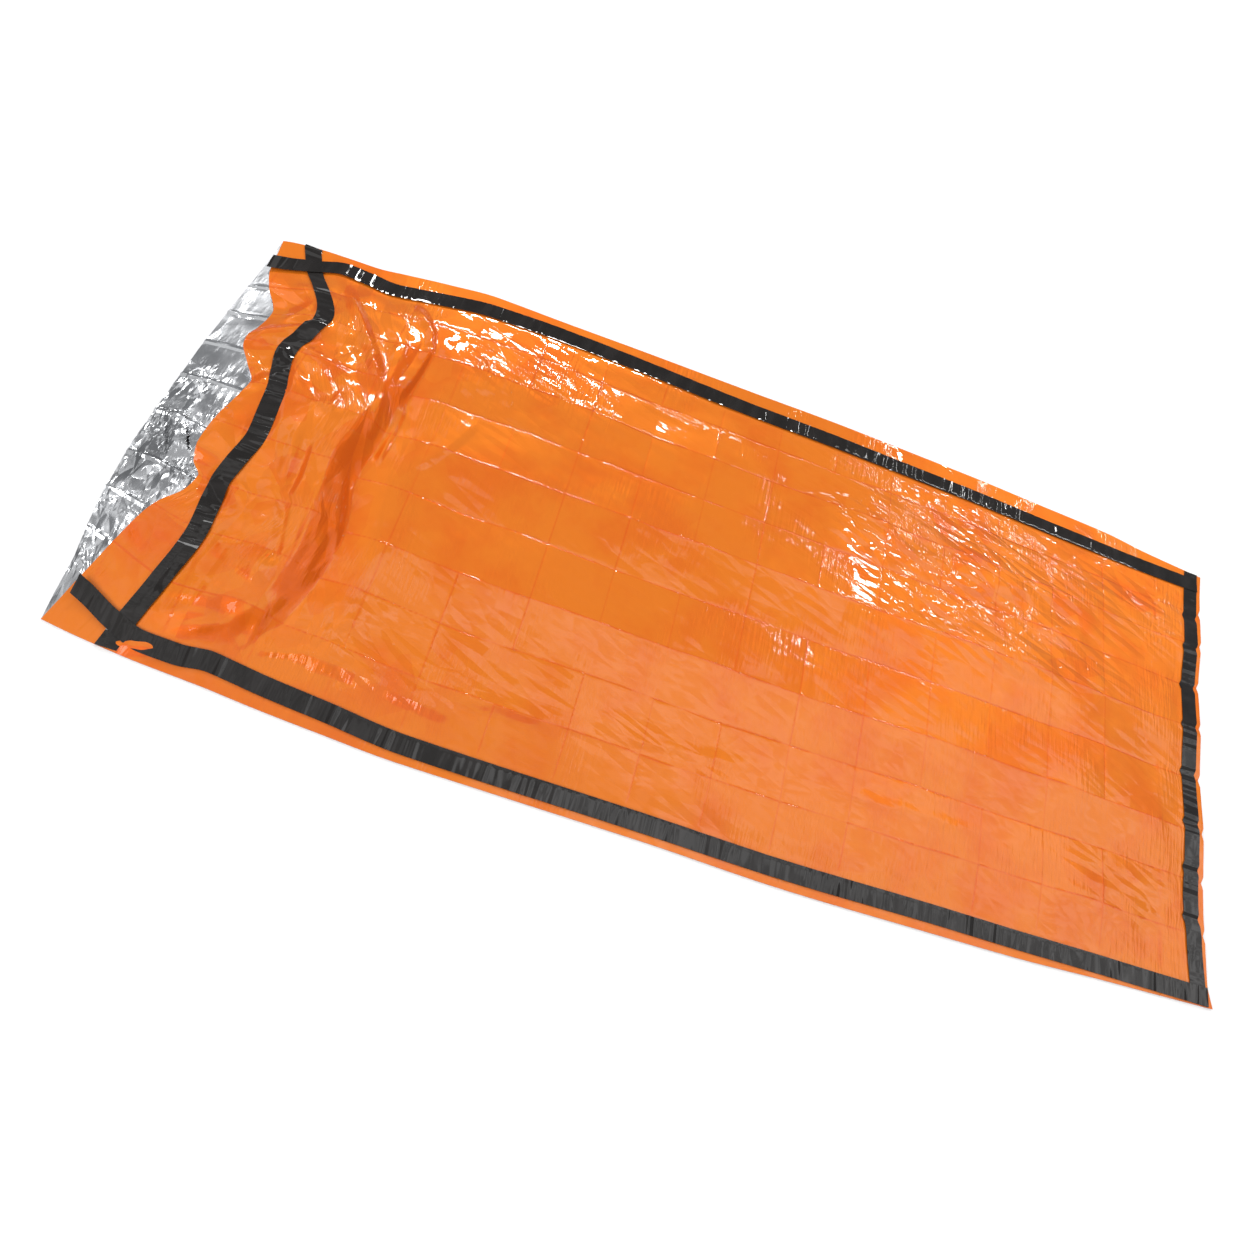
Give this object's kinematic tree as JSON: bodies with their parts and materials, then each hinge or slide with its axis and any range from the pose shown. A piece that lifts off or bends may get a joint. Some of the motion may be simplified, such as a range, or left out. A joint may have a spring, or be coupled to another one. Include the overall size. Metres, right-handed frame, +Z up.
{
  "type": "emergency sleeping bag",
  "caption": "Emergency bivvy bag of orange metallised film with black seam tapes, laid flat with its mouth end lifted open; slides over a person for shelter and warmth.",
  "frame": {"origin": "centre of the bag's footprint, on the surface it lies on", "axes": "+X from the mouth to the foot, along the bag; +Y across the bag to its far side; +Z up"},
  "size_m": [1.9949, 0.9309, 0.0542],
  "materials": {
    "film_orange": "glossy thin polyethylene film with pack creases, orange outside",
    "film_silver": "bright crinkled metallised inner face of the film, orange outside",
    "tape_black": "glossy black adhesive seam tape with cross wrinkles"
  },
  "bodies": {
    "root": {"back_panel": "film_silver", "front_panel": "film_orange", "mouth_tape": "tape_black", "foot_tape": "tape_black", "side_tape_near": "tape_black", "side_tape_far": "tape_black"}
  },
  "joints": []
}
